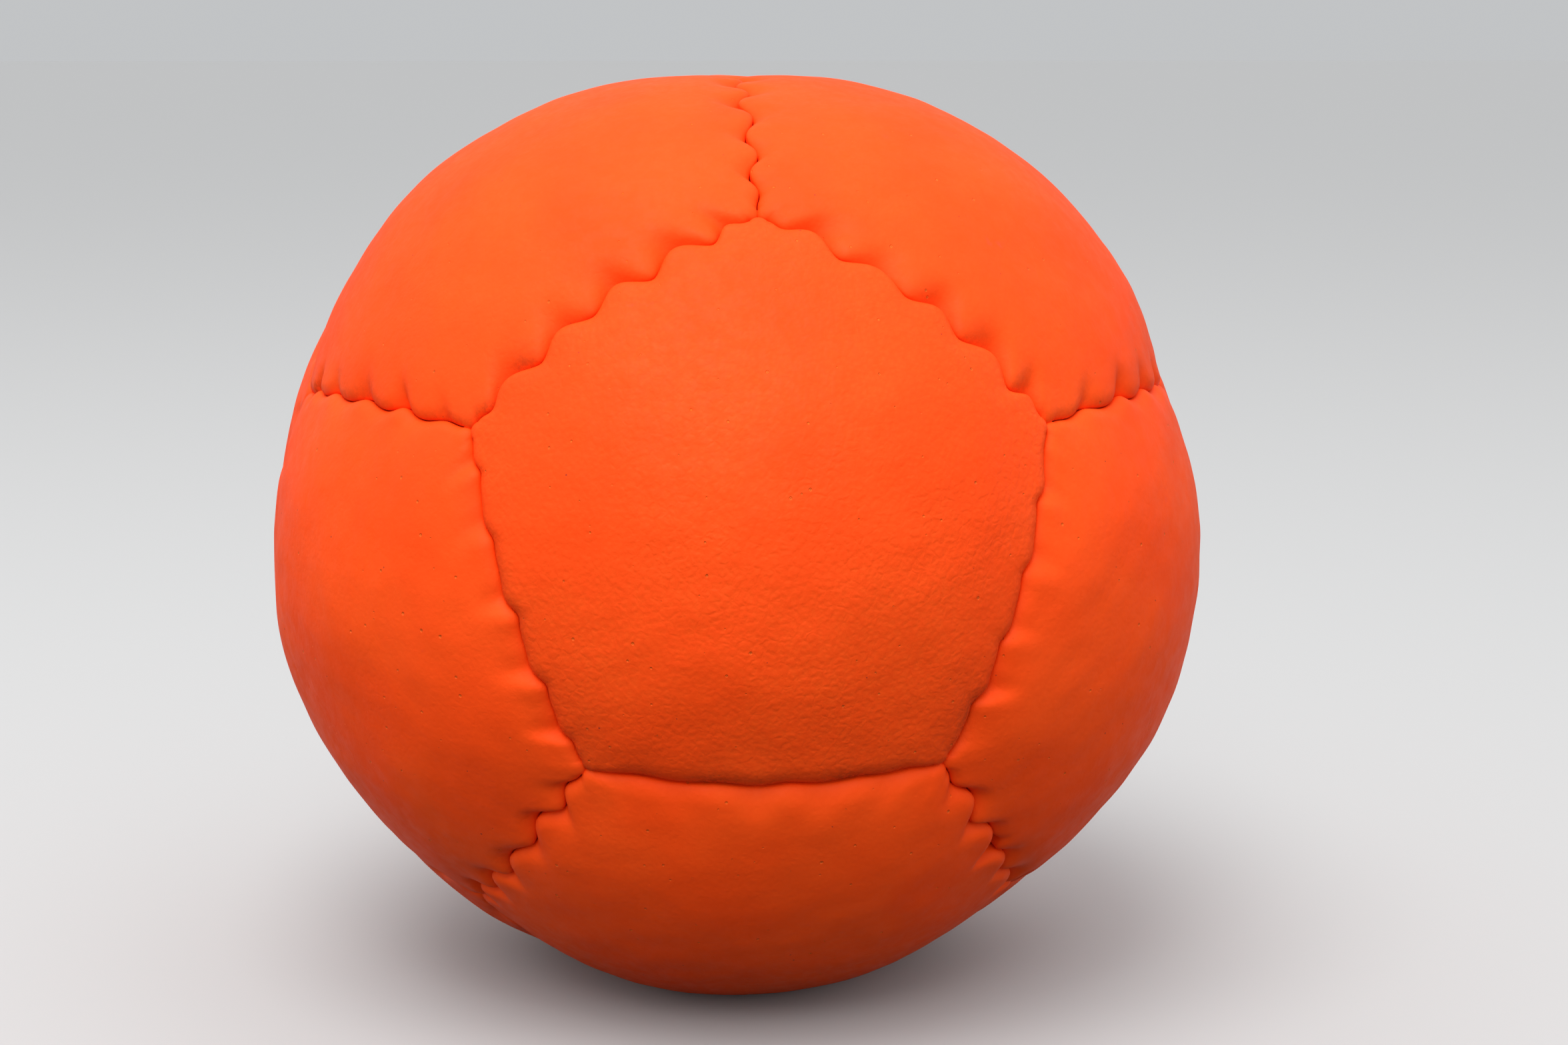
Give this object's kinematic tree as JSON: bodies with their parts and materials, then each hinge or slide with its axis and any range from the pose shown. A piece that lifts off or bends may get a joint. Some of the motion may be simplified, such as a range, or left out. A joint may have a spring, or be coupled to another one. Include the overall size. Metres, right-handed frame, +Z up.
{
  "type": "lacrosse ball",
  "caption": "Soft stitched practice ball of domed pentagon leather panels with turned-in, scalloped seams, hidden thread and a soft fill, for throwing and catching.",
  "frame": {"origin": "on the floor under the middle of the ball, at the middle of the bounding box's bottom face", "axes": "+Z up through two opposite corners of the panel pattern, -Y towards the front panel, +X to the viewer's right when facing that panel"},
  "size_m": [0.0628, 0.0644, 0.0615],
  "materials": {
    "cover": "fluorescent orange synthetic leather, satin-matte with a fine grain",
    "thread": "twisted orange polyester thread",
    "fill": "dark packed granules"
  },
  "bodies": {
    "root": {"panel_front": "cover", "panel_right": "cover", "panel_left": "cover", "panel_upper_right": "cover", "panel_upper_left": "cover", "panel_bottom_front": "cover", "panel_rear": "cover", "panel_right_rear": "cover", "panel_left_rear": "cover", "panel_top_rear": "cover", "panel_bottom_right": "cover", "panel_bottom_left": "cover", "front_cup_thread": "thread", "rear_cup_thread": "thread", "closing_thread": "thread", "fill": "fill"}
  },
  "joints": []
}
